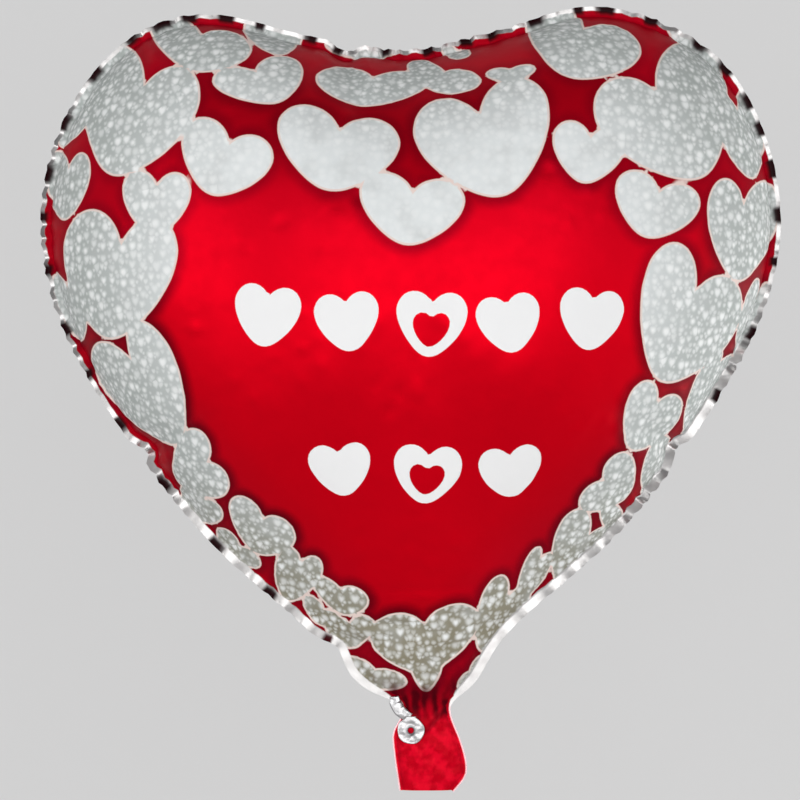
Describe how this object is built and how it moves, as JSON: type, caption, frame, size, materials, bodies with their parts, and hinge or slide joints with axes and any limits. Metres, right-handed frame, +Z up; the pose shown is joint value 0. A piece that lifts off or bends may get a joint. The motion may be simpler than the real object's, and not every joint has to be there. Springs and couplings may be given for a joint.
{
  "type": "heart-shaped foil balloon",
  "caption": "Inflated heart-shaped foil balloon with a printed heart border, a self-sealing inner valve, a swinging filling tail and a ribbon tab.",
  "frame": {"origin": "middle of the neck at the heart's lower tip, in the seam plane, where the balloon is tied or cupped", "axes": "+Z up through the heart, +X to the right of someone who faces the printed front, -Y out of the printed front"},
  "size_m": [0.3958, 0.1654, 0.4202],
  "materials": {
    "printed_foil": "metallised film, gloss, printed red with a silver heart border",
    "plain_foil": "metallised film, gloss, with the same red and silver print as the front",
    "tail_foil": "metallised film, gloss, printed red, creased",
    "tab_foil": "unprinted silver metallised film",
    "valve_film": "translucent polyethylene film",
    "release_coat": "matt heat-resistant ink"
  },
  "bodies": {
    "envelope": {"front_panel": "printed_foil", "back_panel": "plain_foil"},
    "tail": {"tail_front": "tail_foil", "tail_back": "tail_foil", "inlet_front_film": "valve_film", "inlet_back_film": "valve_film"},
    "tab": {"ribbon_tab": "tab_foil"},
    "valve_front": {"valve_front_film": "valve_film", "valve_release_coat": "release_coat"},
    "valve_back": {"valve_back_film": "valve_film"}
  },
  "joints": [
    {"name": "tail_swing", "type": "hinge", "parent": "envelope", "child": "tail", "pos_m": [-0.002, 0, -0.0065], "axis": [1, 0, 0], "range_deg": [-65, 75]},
    {"name": "tab_fold", "type": "hinge", "parent": "tail", "child": "tab", "pos_m": [-0.0102, -0.00295, -0.0075], "axis": [1, 0, 0], "range_deg": [-60, 0]},
    {"name": "valve_front_part", "type": "hinge", "parent": "envelope", "child": "valve_front", "pos_m": [-0.002, -0.0004, -0.0044], "axis": [1, 0, 0], "range_deg": [0, 7], "stiffness_Nm_per_rad": 0.003},
    {"name": "valve_back_part", "type": "hinge", "parent": "envelope", "child": "valve_back", "pos_m": [-0.002, 0.0004, -0.0044], "axis": [1, 0, 0], "range_deg": [-7, 0], "stiffness_Nm_per_rad": 0.003}
  ],
  "couplings": [
    {"joint": "valve_back_part", "follows": "valve_front_part", "ratio": -1}
  ]
}
